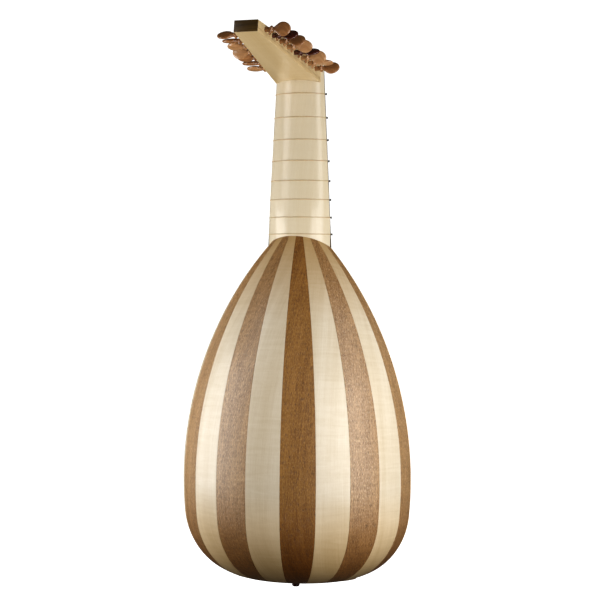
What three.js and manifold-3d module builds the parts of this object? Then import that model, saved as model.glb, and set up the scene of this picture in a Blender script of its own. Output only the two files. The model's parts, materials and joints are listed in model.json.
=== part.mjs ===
// An eight-course Renaissance lute: a rib-built bowl, a carved soundboard, a slim neck with tied frets, and a
// pegbox bent sharply back that holds fifteen friction pegs.
//
// Millimetres. +Z runs up the neck, the strings face -Y, the bowl swells towards +Y and the bass side is -X.
// The lute is drawn from its tail (z = 0) and its soundboard's face (y = 0). The finished group is then moved so
// that its origin is the spot under the pegbox where a wall hanger carries it.

import * as THREE from 'three';
import { mergeVertices } from 'three/addons/utils/BufferGeometryUtils.js';
import Module from 'manifold-3d';

const wasm = await Module();
wasm.setup();

// ---- driving dimensions -------------------------------------------------------------------------------------

const GAP = 0.3; // glue line or running clearance between neighbouring pieces
const WELD = 1e-4; // points closer than this are one point

const STRING_LENGTH = 600;
const BODY_LENGTH = 446.3; // tail to neck joint, along the soundboard
const NECK_SHARE = 0.4; // free neck as a share of the string length
const NUT_Z = BODY_LENGTH + NECK_SHARE * STRING_LENGTH;
const BRIDGE_Z = NUT_Z - STRING_LENGTH;

// Bowl outline: a long side arc, a tight hip arc and a nearly flat tail arc, each tangent to the next.
const HALF_WIDTH = 158.3;
const WIDEST_Z = 136;
const SIDE_RADIUS = 481;
const HIP_RADIUS = 98.4;
const HIP_DROP = 5.35; // degrees below the widest point where the hip arc takes over
const DEPTH_RATIO = 0.86; // depth of a section over its half width

const RIB_COUNT = 11;
const RIB_PITCH = 17.07; // degrees of section angle; the outermost ribs are trimmed by the soundboard
const RIB_THICKNESS = 1.8;
const RIB_FLATNESS = 0.5; // 0 is a rib rounded like the bowl, 1 is a rib flat across
const RIB_JOINT = 0.12; // half of the glue line between two ribs
const TAIL_OPENING = 10.5; // the ribs stop this far from the tail's centre, under the end clasp
const STATIONS = { tail: 2, hip: 11, side: 13 };

const SOUNDBOARD_THICKNESS = 1.8;
const ROSE_Z = 277;
const ROSE_RINGS = [
  { radius: 0, count: 1, hole: 4.6 },
  { radius: 11.6, count: 6, hole: 4.2 },
  { radius: 21.8, count: 12, hole: 4.1 },
  { radius: 32.4, count: 18, hole: 4.2 },
];
const ROSE_HOLE_SIDES = 8;
const BAR_POSITIONS = [150, 215, 277, 345];
const BAR_WIDTH = 5;
const BAR_HEIGHT = 16;

const JOINT_TILT = 28; // degrees; the neck joint leans towards the nut at the back
const NECK_HALF_AT_JOINT = 45.1;
const NECK_HALF_AT_NUT = 33.15;
const NECK_DEPTH_AT_JOINT = 30.9;
const NECK_DEPTH_AT_NUT = 22.8;
const NECK_SIDES = 16;
const NECK_ROWS = 12;
const NECK_OVERRUN = 3.2; // the neck runs this far past the nut's front
const NECK_CROWDING = 1.4; // over 1 gathers the neck's rows towards its heel
const HOUSING_REACH = 60; // the pegbox's seat is cut with a block this long and high
const HEEL_LENGTH = 60; // over this length the neck's section turns into the bowl's
const NECK_BLOCK_START_Z = 398;
const NECK_BLOCK_CLEARANCE = 0.9;
const NECK_BLOCK_ROWS = 4;
const FINGERBOARD_THICKNESS = 2;
const NUT_WIDTH = 4;
const NUT_HEIGHT = 1.2;

const FRET_COUNT = 8;
const FRET_RADIUS = 0.45;
const FRET_CLEARANCE = 0.7; // clears the flats of the neck's faceted back

// The pegbox has its own frame: Y along the box from the nut, Z out of its open side.
const PEGBOX_BEND = 80.3; // degrees between the neck's line and the pegbox
const PEGBOX_OFFSET = 3; // from the nut's front to the pegbox frame
const PEGBOX_START = 7;
const PEGBOX_LENGTH = 206.2;
const PEGBOX_HALF_AT_NUT = 32.3;
const PEGBOX_HALF_AT_END = 15.7;
const PEGBOX_DEPTH_AT_NUT = 23.5;
const PEGBOX_DEPTH_AT_END = 14.8;
const CHEEK_AT_NUT = 5.6;
const CHEEK_AT_END = 4.6;
const BACK_THICKNESS = 5;
const END_BLOCK_LENGTH = 12;
const VENEER_THICKNESS = 1.5;
const HANGER_Y = 45; // where the hanger's fork meets the pegbox back

const PEG_SPACING = 22.4;
const FIRST_PEG_Y = 26;
const PEG_DEPTH_AT_NUT = { bass: 10.6, treble: 11.5 }; // below the box's open side
const PEG_DEPTH_AT_END = { bass: 5.4, treble: 6 };
const PEG_TIP = 1.5; // the tip shows this much beyond the far cheek
const PEG_TIP_RADIUS = 2.5;
const PEG_SHANK_RADIUS = 3.1;
const PEG_SIDES = 10;
// Turned and carved part outside the cheek: distance, half width, half thickness.
const PEG_HEAD = [
  [6.2, 3.3, 3.3],
  [7.2, 4.6, 4.6],
  [9.4, 4.6, 4.6],
  [10.4, 3, 3],
  [13, 4.2, 2.9],
  [17, 7.2, 3],
  [21, 8.8, 3.1],
  [25.5, 8.8, 3],
  [29.8, 6.9, 2.4],
  [32.4, 3.8, 1.6],
  [33.4, 1.4, 0.9],
];
// How far each head stands turned from flat-on, in degrees, counted from the nut.
const BASS_PEG_TURNS = [12, 85, -22, 44, -35, 19, 45, -4];
const TREBLE_PEG_TURNS = [-85, 80, -80, -20, -70, 80, 50];
const PEG_HOLE_SIDES = 12;
const PEG_HOLE_OVERRUN = 3;

const COURSE_COUNT = 8;
const NUT_SPREAD = 25.2; // half of the string band, outer course to outer course
const BRIDGE_SPREAD = 54;
const PAIR_AT_NUT = 1.3; // half of the spacing within a course
const PAIR_AT_BRIDGE = 2.4;
const STRING_HEIGHT_AT_BRIDGE = 6.6;
const BEND_CLEARANCE = 1.5; // the strings turn down to the pegs this far past the nut
const PEG_SPREAD = 0.9; // how much of their spread the strings keep where they wind on the pegs
const KNOT = { thickness: 1.4, rise: 1.5 }; // in string radii, and in knot thicknesses
const THINNEST_STRING = 0.22;
const STRING_GROWTH = 0.05; // added radius per course
const STRING_SIDES = 6;

const BRIDGE_DEPTH = 13;
const BRIDGE_HALF_LENGTH = 78;
const BRIDGE_HEIGHT = 7.6;
const BRIDGE_TIP_HEIGHT = 2.2;
const BRIDGE_SCROLL = { length: 17, bend: 12, height: 2.6 }; // the hollow between block and tip
const BRIDGE_HOLE_HEIGHT = 5.2;
const BRIDGE_HOLE_RADIUS = 0.9;

const CLASP_HALF_LENGTH = 84;
const CLASP_THICKNESS = 1.2;
const CLASP_WIDTH = 24;
const CLASP_END_WIDTH = 5;
const CLASP_STATIONS = 18;
const LINER = { halfLength: 30, depth: 22, bottom: 3.2, thickness: 8 };
const BUTTON_Y = 6.5;
const TENON_RADIUS = 2.5;
const BUTTON_RADIUS = 5.2;
const BUTTON_END_RADIUS = 4.2;
const BUTTON_END_Z = -11.3;
const BUTTON_CHAMFER = 1.4;
const BUTTON_SHOULDER = { height: 1.2, inset: 0.8 };
const BUTTON_SIDES = 16;
const LONG_CUT = 60; // a cutter's length, past both sides of what it cuts

// ---- materials ----------------------------------------------------------------------------------------------

function finish(color, roughness) {
  return () => new THREE.MeshStandardMaterial({ color, roughness, metalness: 0 });
}

const maple = finish('#e6d3a8', 0.35);
const walnut = finish('#7a5233', 0.4);
const neckMaple = finish('#ecdcbb', 0.3);
const spruce = finish('#e0bd84', 0.6);
const plum = finish('#a06a45', 0.35);
const darkVeneer = finish('#3a2612', 0.4);
const boneWhite = finish('#eee6d2', 0.35);
const gut = finish('#d9c08a', 0.5);

// ---- small helpers ------------------------------------------------------------------------------------------

const radians = THREE.MathUtils.degToRad;
const mix = THREE.MathUtils.lerp;

function range(count) {
  return Array.from({ length: count }, (_, i) => i);
}

function steps(count, from, to) {
  return range(count + 1).map((i) => mix(from, to, i / count));
}

function indexed(points, triangles) {
  const geometry = new THREE.BufferGeometry();
  geometry.setAttribute('position', new THREE.Float32BufferAttribute(points.flatMap((p) => p.toArray()), 3));
  geometry.setIndex(triangles);
  return geometry;
}

// Triangles that fill a flat ring of points.
function capTriangles(ring) {
  const normal = new THREE.Vector3();
  ring.forEach((point, i) => {
    normal.add(point.clone().cross(ring[(i + 1) % ring.length]));
  });
  const turn = new THREE.Quaternion().setFromUnitVectors(normal.normalize(), new THREE.Vector3(0, 0, 1));
  const flat = ring.map((point) => {
    const turned = point.clone().applyQuaternion(turn);
    return new THREE.Vector2(turned.x, turned.y);
  });
  return THREE.ShapeUtils.triangulateShape(flat, []);
}

// A skin over rings of equal length that run anticlockwise, seen from the last ring looking back.
function loft(rings, closed = false) {
  const size = rings[0].length;
  const triangles = [];
  const bands = closed ? rings.length : rings.length - 1;
  for (let band = 0; band < bands; band += 1) {
    const lower = band * size;
    const upper = ((band + 1) % rings.length) * size;
    for (let i = 0; i < size; i += 1) {
      const j = (i + 1) % size;
      triangles.push(lower + i, lower + j, upper + j, lower + i, upper + j, upper + i);
    }
  }
  if (!closed) {
    const last = (rings.length - 1) * size;
    capTriangles(rings[0]).forEach(([a, b, c]) => triangles.push(c, b, a));
    capTriangles(rings.at(-1)).forEach(([a, b, c]) => triangles.push(last + a, last + b, last + c));
  }
  return indexed(rings.flat(), triangles);
}

// A six-sided block from two opposite faces, each given as four corners anticlockwise seen from the second.
function block(first, second) {
  const corners = (face) => face.map(([x, y, z]) => new THREE.Vector3(x, y, z));
  return loft([corners(first), corners(second)]);
}

function toSolid(geometry) {
  const plain = geometry.clone();
  plain.deleteAttribute('normal');
  plain.deleteAttribute('uv');
  const merged = mergeVertices(plain, WELD);
  return new wasm.Manifold(new wasm.Mesh({
    numProp: 3,
    vertProperties: new Float32Array(merged.attributes.position.array),
    triVerts: new Uint32Array(merged.index.array),
  }));
}

function toGeometry(solid) {
  const mesh = solid.getMesh();
  const geometry = new THREE.BufferGeometry();
  geometry.setAttribute('position', new THREE.BufferAttribute(new Float32Array(mesh.vertProperties), 3));
  geometry.setIndex(Array.from(mesh.triVerts));
  return geometry;
}

function cut(body, cutters) {
  return toGeometry(cutters.reduce((solid, cutter) => solid.subtract(toSolid(cutter)), toSolid(body)));
}

function overlap(first, second) {
  return toGeometry(toSolid(first).intersect(toSolid(second)));
}

function join(bodies) {
  return toGeometry(bodies.map(toSolid).reduce((whole, solid) => whole.add(solid)));
}

// ---- bowl outline -------------------------------------------------------------------------------------------

const side = { b: HALF_WIDTH - SIDE_RADIUS, z: WIDEST_Z, radius: SIDE_RADIUS };
const hipReach = SIDE_RADIUS - HIP_RADIUS;
const hip = {
  b: side.b + hipReach * Math.cos(radians(HIP_DROP)),
  z: side.z - hipReach * Math.sin(radians(HIP_DROP)),
  radius: HIP_RADIUS,
};
const tailRadius = (hip.b ** 2 + hip.z ** 2 - hip.radius ** 2) / (2 * (hip.z - hip.radius));
const tail = { b: 0, z: tailRadius, radius: tailRadius };
const HIP_START = Math.atan2(hip.b, tail.z - hip.z);
const SIDE_START = radians(90 - HIP_DROP);
const LAST_HEADING = radians(140); // past every neck joint
const BISECTIONS = 40;

// The outline by its heading: the direction of its outward normal, from straight down at the tail.
function outline(heading, offset = 0) {
  let arc = side;
  if (heading < SIDE_START) arc = hip;
  if (heading < HIP_START) arc = tail;
  const radius = arc.radius + offset;
  return { b: arc.b + radius * Math.sin(heading), z: arc.z - radius * Math.cos(heading) };
}

// Height of the lower, cup-shaped part of the outline at a half width b.
function cupHeight(b, offset) {
  const arc = b < outline(HIP_START, offset).b ? tail : hip;
  return arc.z - Math.sqrt((arc.radius + offset) ** 2 - (b - arc.b) ** 2);
}

// Half width of the bowl's edge at a height on the side arc.
function halfWidthAt(z) {
  return side.b + Math.sqrt(side.radius ** 2 - (z - side.z) ** 2);
}

const BOWL_FRONT = SOUNDBOARD_THICKNESS + GAP;

// A point of the bowl: turn is 0 along the back's middle and a quarter turn at the treble edge.
function bowlPoint(heading, turn, offset = 0) {
  const { b, z } = outline(heading, offset);
  return new THREE.Vector3(b * Math.sin(turn), BOWL_FRONT + DEPTH_RATIO * b * Math.cos(turn), z);
}

function aboveJoint(point) {
  return point.z - BODY_LENGTH - point.y * Math.tan(radians(JOINT_TILT));
}

// The heading at which the bowl meets the neck joint's plane, pushed towards the nut by lift.
function jointHeading(turn, offset, lift) {
  let low = SIDE_START;
  let high = LAST_HEADING;
  for (let i = 0; i < BISECTIONS; i += 1) {
    const middle = (low + high) / 2;
    if (aboveJoint(bowlPoint(middle, turn, offset)) < lift) low = middle;
    else high = middle;
  }
  return low;
}

function headings(start, end) {
  return [
    ...steps(STATIONS.tail, start, HIP_START).slice(0, -1),
    ...steps(STATIONS.hip, HIP_START, SIDE_START).slice(0, -1),
    ...steps(STATIONS.side, SIDE_START, end),
  ];
}

// ---- bowl ---------------------------------------------------------------------------------------------------

const RIB_START = Math.asin(TAIL_OPENING / tail.radius);

// One lengthwise line of a rib, from the tail to the neck joint, kept half a glue line inside its edge.
function ribLine(turn, inward, offset) {
  const end = jointHeading(turn, offset, -GAP / 2);
  return headings(RIB_START, end).map((heading) => {
    const trim = inward * (RIB_JOINT / outline(heading, offset).b);
    return bowlPoint(heading, turn + trim, offset);
  });
}

function ribSkin(from, to, offset) {
  const bassSide = ribLine(from, 1, offset);
  const trebleSide = ribLine(to, -1, offset);
  const middle = ribLine((from + to) / 2, 0, offset).map((point, i) => {
    const chord = bassSide[i].clone().lerp(trebleSide[i], 0.5);
    return i === 0 ? point : point.lerp(chord, RIB_FLATNESS);
  });
  return [bassSide, middle, trebleSide];
}

function ribGeometry(index) {
  const quarter = radians(90);
  const from = Math.max(-quarter, radians((index - RIB_COUNT / 2) * RIB_PITCH));
  const to = Math.min(quarter, radians((index + 1 - RIB_COUNT / 2) * RIB_PITCH));
  const outer = ribSkin(from, to, 0);
  const inner = ribSkin(from, to, -RIB_THICKNESS);
  const lines = [...inner, ...outer.reverse()];
  return loft(lines[0].map((_, i) => lines.map((line) => line[i])));
}

function neckBlockGeometry() {
  const offset = -RIB_THICKNESS - NECK_BLOCK_CLEARANCE;
  const start = Math.acos((side.z - NECK_BLOCK_START_Z) / (side.radius + offset));
  const columns = steps(NECK_SIDES, radians(-90), radians(90)).map((turn) => {
    const end = jointHeading(turn, offset, -GAP / 2);
    return steps(NECK_BLOCK_ROWS, start, end).map((heading) => bowlPoint(heading, turn, offset));
  });
  return loft(columns[0].map((_, i) => columns.map((column) => column[i]).reverse()));
}

function claspGeometry() {
  const inner = GAP;
  const outer = GAP + CLASP_THICKNESS;
  const rings = steps(CLASP_STATIONS, -CLASP_HALF_LENGTH, CLASP_HALF_LENGTH).map((x) => {
    const share = 1 - (x / CLASP_HALF_LENGTH) ** 2;
    const width = mix(CLASP_END_WIDTH, CLASP_WIDTH, share);
    const strip = (offset) => steps(2, 0, width).map((y) => {
      const b = Math.hypot(x, y / DEPTH_RATIO);
      return new THREE.Vector3(x, BOWL_FRONT + y, cupHeight(b, offset));
    });
    return [...strip(outer), ...strip(inner).reverse()];
  });
  return cut(loft(rings), [tenonCutter()]);
}

function tenonCutter() {
  const hole = new THREE.CylinderGeometry(TENON_RADIUS + GAP, TENON_RADIUS + GAP, LONG_CUT, BUTTON_SIDES);
  hole.rotateX(radians(90));
  hole.translate(0, BUTTON_Y, 0);
  return hole;
}

function linerGeometry() {
  const body = new THREE.BoxGeometry(2 * LINER.halfLength, LINER.depth, LINER.thickness);
  body.translate(0, BOWL_FRONT + LINER.depth / 2, LINER.bottom + LINER.thickness / 2);
  return cut(body, [tenonCutter()]);
}

function buttonGeometry() {
  const shoulder = -GAP - CLASP_THICKNESS - GAP;
  const profile = [
    [0, BUTTON_END_Z],
    [BUTTON_END_RADIUS, BUTTON_END_Z],
    [BUTTON_RADIUS, BUTTON_END_Z + BUTTON_CHAMFER],
    [BUTTON_RADIUS, shoulder - BUTTON_SHOULDER.height],
    [BUTTON_RADIUS - BUTTON_SHOULDER.inset, shoulder],
    [TENON_RADIUS, shoulder],
    [TENON_RADIUS, LINER.bottom + LINER.thickness],
    [0, LINER.bottom + LINER.thickness],
  ];
  const points = profile.map(([r, z]) => new THREE.Vector2(r, z));
  return new THREE.LatheGeometry(points, BUTTON_SIDES).rotateX(radians(90));
}

// ---- soundboard ---------------------------------------------------------------------------------------------

function roseHoles() {
  return ROSE_RINGS.flatMap(({ radius, count, hole }) => range(count).map((i) => {
    const angle = (2 * Math.PI * i) / count;
    const path = new THREE.Path();
    const x = radius * Math.sin(angle);
    const z = ROSE_Z + radius * Math.cos(angle);
    path.setFromPoints(range(ROSE_HOLE_SIDES).map((k) => {
      const around = angle + (2 * Math.PI * (k + 0.5)) / ROSE_HOLE_SIDES;
      return new THREE.Vector2(x + hole * Math.sin(around), z + hole * Math.cos(around));
    }));
    return path;
  }));
}

function soundboardGeometry() {
  const end = Math.acos((side.z - BODY_LENGTH + GAP / 2) / side.radius);
  const treble = headings(0, end).map((heading) => outline(heading));
  const bass = treble.slice(1).reverse().map(({ b, z }) => ({ b: -b, z }));
  const shape = new THREE.Shape([...treble, ...bass].map(({ b, z }) => new THREE.Vector2(b, z)));
  shape.holes = roseHoles();
  const board = new THREE.ExtrudeGeometry(shape, { depth: SOUNDBOARD_THICKNESS, bevelEnabled: false });
  board.rotateX(radians(90));
  return board.translate(0, SOUNDBOARD_THICKNESS, 0);
}

// A bar glued across the back of the soundboard, its ends cut to the inside of the bowl.
function barGeometry(z) {
  const inside = halfWidthAt(z + BAR_WIDTH) - RIB_THICKNESS - 2 * GAP;
  const reach = (y) => {
    const across = (y - BOWL_FRONT) / (DEPTH_RATIO * inside);
    return inside * Math.sqrt(1 - across ** 2) - GAP;
  };
  const depths = steps(3, BOWL_FRONT, BOWL_FRONT + BAR_HEIGHT);
  const trebleEnd = depths.map((y) => new THREE.Vector2(reach(y), y));
  const bassEnd = depths.map((y) => new THREE.Vector2(-reach(y), y)).reverse();
  const shape = new THREE.Shape([...trebleEnd, ...bassEnd]);
  return new THREE.ExtrudeGeometry(shape, { depth: BAR_WIDTH, bevelEnabled: false }).translate(0, 0, z);
}

function bridgeGeometry() {
  const half = BRIDGE_HALF_LENGTH;
  const bend = half - BRIDGE_SCROLL.bend;
  const inner = half - BRIDGE_SCROLL.length;
  const shape = new THREE.Shape();
  shape.moveTo(-half, -GAP);
  shape.lineTo(-half, -BRIDGE_TIP_HEIGHT);
  shape.quadraticCurveTo(-bend, -BRIDGE_SCROLL.height, -inner, -BRIDGE_HEIGHT);
  shape.lineTo(inner, -BRIDGE_HEIGHT);
  shape.quadraticCurveTo(bend, -BRIDGE_SCROLL.height, half, -BRIDGE_TIP_HEIGHT);
  shape.lineTo(half, -GAP);
  shape.closePath();
  const settings = { depth: BRIDGE_DEPTH, bevelEnabled: false, curveSegments: 5 };
  const body = new THREE.ExtrudeGeometry(shape, settings).translate(0, 0, BRIDGE_Z - BRIDGE_DEPTH);
  const holes = strings().map(({ bridgeX }) => {
    const hole = new THREE.CylinderGeometry(BRIDGE_HOLE_RADIUS, BRIDGE_HOLE_RADIUS, LONG_CUT, STRING_SIDES);
    hole.rotateX(radians(90));
    return hole.translate(bridgeX, -BRIDGE_HOLE_HEIGHT, BRIDGE_Z);
  });
  return cut(body, holes);
}

// ---- neck ---------------------------------------------------------------------------------------------------

function upTheNeck(atJoint, atNut, z) {
  return mix(atJoint, atNut, (z - BODY_LENGTH) / (NUT_Z - BODY_LENGTH));
}

function neckHalf(z) {
  return upTheNeck(NECK_HALF_AT_JOINT, NECK_HALF_AT_NUT, z);
}

// Where the neck's surface meets the joint; angle is 0 at the treble edge and 90 degrees at the back.
function heelPoint(angle) {
  const turn = radians(90) - angle;
  return bowlPoint(jointHeading(turn, 0, GAP / 2), turn);
}

// The neck's back: half an ellipse that turns into the bowl's own section near the joint.
function neckPoint(angle, z, grow = 0) {
  const heel = heelPoint(angle);
  const depth = upTheNeck(NECK_DEPTH_AT_JOINT, NECK_DEPTH_AT_NUT, z);
  const plain = new THREE.Vector3(neckHalf(z) * Math.cos(angle), depth * Math.sin(angle), z);
  const away = THREE.MathUtils.smoothstep(z, heel.z, heel.z + HEEL_LENGTH);
  const point = heel.setZ(z).lerp(plain, away);
  point.x += grow * Math.cos(angle);
  point.y += grow * Math.sin(angle);
  return point;
}

// The neck before the pegbox's seat is cut, with its back moved outward by grow.
function neckBody(grow = 0) {
  const front = FINGERBOARD_THICKNESS + GAP;
  const columns = steps(NECK_SIDES, 0, Math.PI).map((angle) => {
    const start = heelPoint(angle).z;
    return steps(NECK_ROWS, 0, 1).map((share) => {
      const z = mix(start, NUT_Z + NECK_OVERRUN, share ** NECK_CROWDING);
      const point = neckPoint(angle, z, grow);
      point.y = Math.max(point.y, front);
      return point;
    });
  });
  return loft(columns[0].map((_, i) => columns.map((column) => column[i])));
}

function neckGeometry() {
  const wide = 2 * NECK_HALF_AT_NUT;
  const start = PEGBOX_START - GAP;
  const seat = pegboxPiece(start, HOUSING_REACH, () => -wide, () => wide, underside, () => HOUSING_REACH);
  return cut(neckBody(), [seat.applyMatrix4(pegboxFrame.matrix)]);
}

function acrossNeck(fromZ, toZ, front, back) {
  const face = (z) => {
    const half = neckHalf(z);
    return [[-half, front, z], [half, front, z], [half, back, z], [-half, back, z]];
  };
  return block(face(fromZ), face(toZ));
}

// A gut fret tied round the neck and fingerboard.
function fretGeometry(number) {
  const z = NUT_Z - STRING_LENGTH * (1 - 2 ** (-number / 12));
  const clear = FRET_RADIUS + FRET_CLEARANCE;
  const back = steps(NECK_SIDES, 0, Math.PI).map((angle) => neckPoint(angle, z, clear));
  const half = neckHalf(z);
  const front = [new THREE.Vector3(-half, -clear, z), new THREE.Vector3(half, -clear, z)];
  const path = [...back, ...front];
  const rings = path.map((point, i) => {
    const before = path[(i + path.length - 1) % path.length];
    const after = path[(i + 1) % path.length];
    const outward = after.clone().sub(before).normalize().cross(new THREE.Vector3(0, 0, 1));
    const up = new THREE.Vector3(0, 0, FRET_RADIUS);
    outward.multiplyScalar(FRET_RADIUS);
    return [outward, up.clone().negate(), outward.clone().negate(), up].map((arm) => arm.add(point));
  });
  return loft(rings, true);
}

// ---- pegbox -------------------------------------------------------------------------------------------------

const pegboxFrame = new THREE.Group();
pegboxFrame.rotation.x = radians(90 - PEGBOX_BEND);
pegboxFrame.position.set(0, 0, NUT_Z + PEGBOX_OFFSET);
pegboxFrame.updateMatrix();

function alongPegbox(atNut, atEnd, y) {
  return mix(atNut, atEnd, y / PEGBOX_LENGTH);
}

function pegboxHalf(y) {
  return alongPegbox(PEGBOX_HALF_AT_NUT, PEGBOX_HALF_AT_END, y);
}

function pegboxDepth(y) {
  return alongPegbox(PEGBOX_DEPTH_AT_NUT, PEGBOX_DEPTH_AT_END, y);
}

function underside(y) {
  return -pegboxDepth(y);
}

function insideHalf(y) {
  return pegboxHalf(y) - alongPegbox(CHEEK_AT_NUT, CHEEK_AT_END, y);
}

// A piece of the box between two distances, with its sides and its lower face given as functions of distance.
function pegboxPiece(fromY, toY, left, right, bottom, top) {
  const face = (y) => [
    [left(y), y, top(y)],
    [right(y), y, top(y)],
    [right(y), y, bottom(y)],
    [left(y), y, bottom(y)],
  ];
  return block(face(fromY), face(toY));
}

const BOX_END = PEGBOX_LENGTH - VENEER_THICKNESS - GAP;
const flush = () => 0;
const onBack = (y) => BACK_THICKNESS + GAP - pegboxDepth(y);

function cheekGeometry(sign) {
  const inner = (y) => sign * insideHalf(y);
  const outer = (y) => sign * pegboxHalf(y);
  const left = sign > 0 ? inner : outer;
  const right = sign > 0 ? outer : inner;
  return cut(pegboxPiece(PEGBOX_START, BOX_END, left, right, onBack, flush), pegs.map(pegHole));
}

// The plate under the box. Its tongue, where it lies on the neck, is thinner by a glue line.
function pegboxBackGeometry() {
  const top = (y) => BACK_THICKNESS - pegboxDepth(y);
  const plate = pegboxPiece(PEGBOX_START, BOX_END, (y) => -pegboxHalf(y), pegboxHalf, underside, top);
  const wide = 2 * PEGBOX_HALF_AT_NUT;
  const below = (y) => underside(y) - BACK_THICKNESS;
  const glueLine = (y) => underside(y) + GAP;
  const layer = pegboxPiece(0, BOX_END, () => -wide, () => wide, below, glueLine);
  const neckInBox = neckBody(GAP).applyMatrix4(pegboxFrame.matrix.clone().invert());
  return cut(plate, [overlap(layer, neckInBox)]);
}

function endBlockGeometry() {
  const half = (y) => insideHalf(y) - GAP;
  return pegboxPiece(BOX_END - END_BLOCK_LENGTH, BOX_END, (y) => -half(y), half, onBack, flush);
}

function veneerGeometry() {
  const from = PEGBOX_LENGTH - VENEER_THICKNESS;
  return pegboxPiece(from, PEGBOX_LENGTH, (y) => -pegboxHalf(y), pegboxHalf, underside, flush);
}

// ---- pegs ---------------------------------------------------------------------------------------------------

// The pegs of one side; sign is -1 for heads on the bass side and 1 for heads on the treble side.
function pegRow(row, sign, firstY, turns) {
  return turns.map((turn, i) => {
    const y = firstY + i * PEG_SPACING;
    const depth = alongPegbox(PEG_DEPTH_AT_NUT[row], PEG_DEPTH_AT_END[row], y);
    return { name: `peg_${row}_${i + 1}`, sign, turn, y, depth };
  });
}

const pegs = [
  ...pegRow('bass', -1, FIRST_PEG_Y, BASS_PEG_TURNS),
  ...pegRow('treble', 1, FIRST_PEG_Y + PEG_SPACING / 2, TREBLE_PEG_TURNS),
];

// A peg along +X: a tapered shank, a turned collar and a flat rounded head.
function pegGeometry(y) {
  const half = pegboxHalf(y);
  const profile = [
    [-half - PEG_TIP, PEG_TIP_RADIUS, PEG_TIP_RADIUS],
    [half, PEG_SHANK_RADIUS, PEG_SHANK_RADIUS],
    ...PEG_HEAD.map(([out, wide, thick]) => [half + out, wide, thick]),
  ];
  return loft(profile.map(([x, wide, thick]) => range(PEG_SIDES).map((k) => {
    const angle = (2 * Math.PI * k) / PEG_SIDES;
    return new THREE.Vector3(x, thick * Math.cos(angle), wide * Math.sin(angle));
  })));
}

// The tapered hole that a peg turns in, through both cheeks.
function pegHole({ y, sign, depth }) {
  const widen = 1 / Math.cos(Math.PI / PEG_HOLE_SIDES);
  const half = pegboxHalf(y);
  const taper = (PEG_SHANK_RADIUS - PEG_TIP_RADIUS) / (2 * half + PEG_TIP);
  const atHead = (PEG_SHANK_RADIUS + taper * PEG_HOLE_OVERRUN + GAP) * widen;
  const atTip = (PEG_TIP_RADIUS + taper * (PEG_TIP - PEG_HOLE_OVERRUN) + GAP) * widen;
  const hole = new THREE.CylinderGeometry(atHead, atTip, 2 * (half + PEG_HOLE_OVERRUN), PEG_HOLE_SIDES);
  hole.rotateZ(radians(-90 * sign));
  return hole.translate(0, y, -depth);
}

// ---- strings ------------------------------------------------------------------------------------------------

// Every string with its place at the nut and bridge and the peg it winds on. The outer strings go to the pegs
// nearest the nut, so that no two strings cross.
function strings() {
  const list = range(COURSE_COUNT).flatMap((i) => {
    const share = i / (COURSE_COUNT - 1);
    const nutX = mix(NUT_SPREAD, -NUT_SPREAD, share);
    const bridgeX = mix(BRIDGE_SPREAD, -BRIDGE_SPREAD, share);
    const radius = THINNEST_STRING + STRING_GROWTH * i;
    return (i === 0 ? [0] : [1, -1]).map((pair) => ({
      course: i + 1,
      radius,
      nutX: nutX + pair * PAIR_AT_NUT,
      bridgeX: bridgeX + pair * PAIR_AT_BRIDGE,
    }));
  });
  const treble = pegs.filter(({ sign }) => sign > 0);
  const bass = pegs.filter(({ sign }) => sign < 0);
  const order = [...treble, ...bass.reverse()];
  return list.map((string, i) => ({ ...string, peg: order[i] }));
}

function stringPath({ radius, nutX, bridgeX, peg }) {
  const lift = -NUT_HEIGHT - GAP - radius;
  const pegX = nutX * PEG_SPREAD * (insideHalf(peg.y) / insideHalf(0));
  const overPeg = PEG_SHANK_RADIUS + radius + GAP - peg.depth;
  return [
    new THREE.Vector3(bridgeX, -STRING_HEIGHT_AT_BRIDGE, BRIDGE_Z + GAP),
    new THREE.Vector3(nutX, lift, NUT_Z),
    new THREE.Vector3(nutX, lift, NUT_Z + NUT_WIDTH + BEND_CLEARANCE),
    new THREE.Vector3(pegX, peg.y, overPeg).applyMatrix4(pegboxFrame.matrix),
  ];
}

// A round cord along straight stretches, mitred where it bends.
function cordGeometry(path, radius) {
  const directions = path.slice(1).map((point, i) => point.clone().sub(path[i]).normalize());
  const sideways = new THREE.Vector3(1, 0, 0);
  return loft(path.map((point, i) => {
    const before = directions[Math.max(i - 1, 0)];
    const after = directions[Math.min(i, directions.length - 1)];
    const along = before.clone().add(after).normalize();
    const stretch = 1 / along.dot(after);
    const across = sideways.clone().addScaledVector(along, -along.dot(sideways)).normalize();
    const upward = along.clone().cross(across).multiplyScalar(radius * stretch);
    across.multiplyScalar(radius);
    return range(STRING_SIDES).map((k) => {
      const angle = (2 * Math.PI * k) / STRING_SIDES;
      return point.clone().addScaledVector(across, Math.cos(angle)).addScaledVector(upward, Math.sin(angle));
    });
  }));
}

// A course: one string, or a pair whose knots meet in front of the bridge.
function courseGeometry(number) {
  const pair = strings().filter(({ course }) => course === number);
  const paths = pair.map(stringPath);
  const cords = paths.map((path, i) => cordGeometry(path, pair[i].radius));
  if (pair.length === 1) return cords[0];
  const thickness = KNOT.thickness * pair[0].radius;
  const knot = new THREE.BoxGeometry(paths[0][0].x - paths[1][0].x, thickness, thickness);
  const middle = paths[0][0].clone().add(paths[1][0]).multiplyScalar(0.5);
  knot.translate(middle.x, middle.y, middle.z + KNOT.rise * thickness);
  return join([...cords, knot]);
}

// ---- assembly -----------------------------------------------------------------------------------------------

const lute = new THREE.Group();
lute.add(pegboxFrame);

function add(name, geometry, material, parent = lute) {
  const mesh = new THREE.Mesh(geometry, material());
  mesh.name = name;
  parent.add(mesh);
  return mesh;
}

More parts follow.
